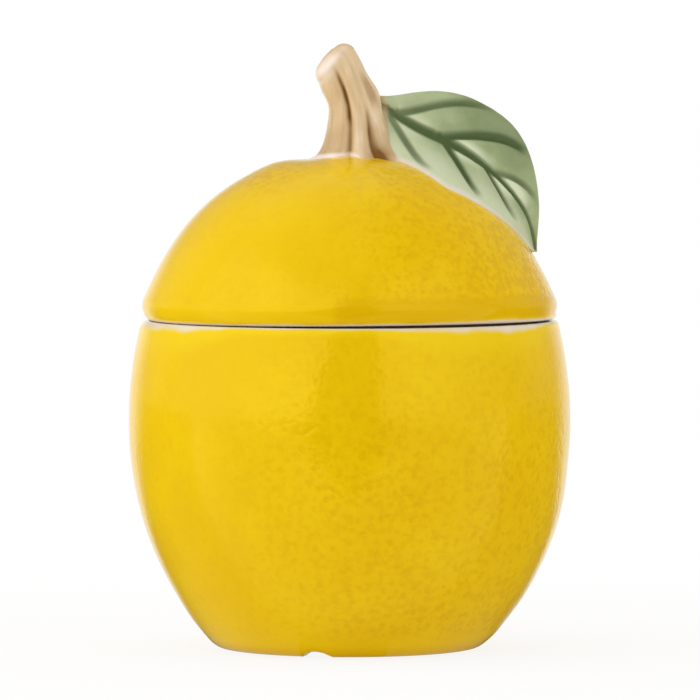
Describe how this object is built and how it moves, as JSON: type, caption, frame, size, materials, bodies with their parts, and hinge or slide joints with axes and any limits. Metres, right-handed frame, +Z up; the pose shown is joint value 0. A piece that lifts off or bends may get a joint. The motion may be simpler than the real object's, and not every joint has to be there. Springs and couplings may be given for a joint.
{
  "type": "lidded jar",
  "caption": "Fruit-shaped glazed stoneware jar on a foot ring, with a domed lift-off lid; a fluted woody stem on the crown is the knob and a veined leaf lies beside it.",
  "frame": {"origin": "on the jar's upright axis, on the table that the foot ring stands on", "axes": "+Z up along the jar's axis, +X towards the leaf, -Y towards the front that the picture shows"},
  "size_m": [0.11, 0.11, 0.1503],
  "materials": {
    "jar_glaze": "glossy yellow glaze over a pitted peel texture, breaking pale at the rim",
    "lid_glaze": "glossy yellow glaze over a pitted peel texture, breaking pale at the lower edge",
    "stem_stain": "satin tan glaze over brown stain that lies in the flutes",
    "leaf_glaze": "satin sage-green glaze, darker in the veins and pale at the edges"
  },
  "bodies": {
    "jar": {"jar_body": "jar_glaze"},
    "lid": {"lid_dome": "lid_glaze", "stem": "stem_stain", "leaf": "leaf_glaze"}
  },
  "joints": [
    {"name": "lid_lift", "type": "slide", "parent": "jar", "child": "lid", "axis": [0, 0, 1], "range_m": [0, 0.09]}
  ]
}
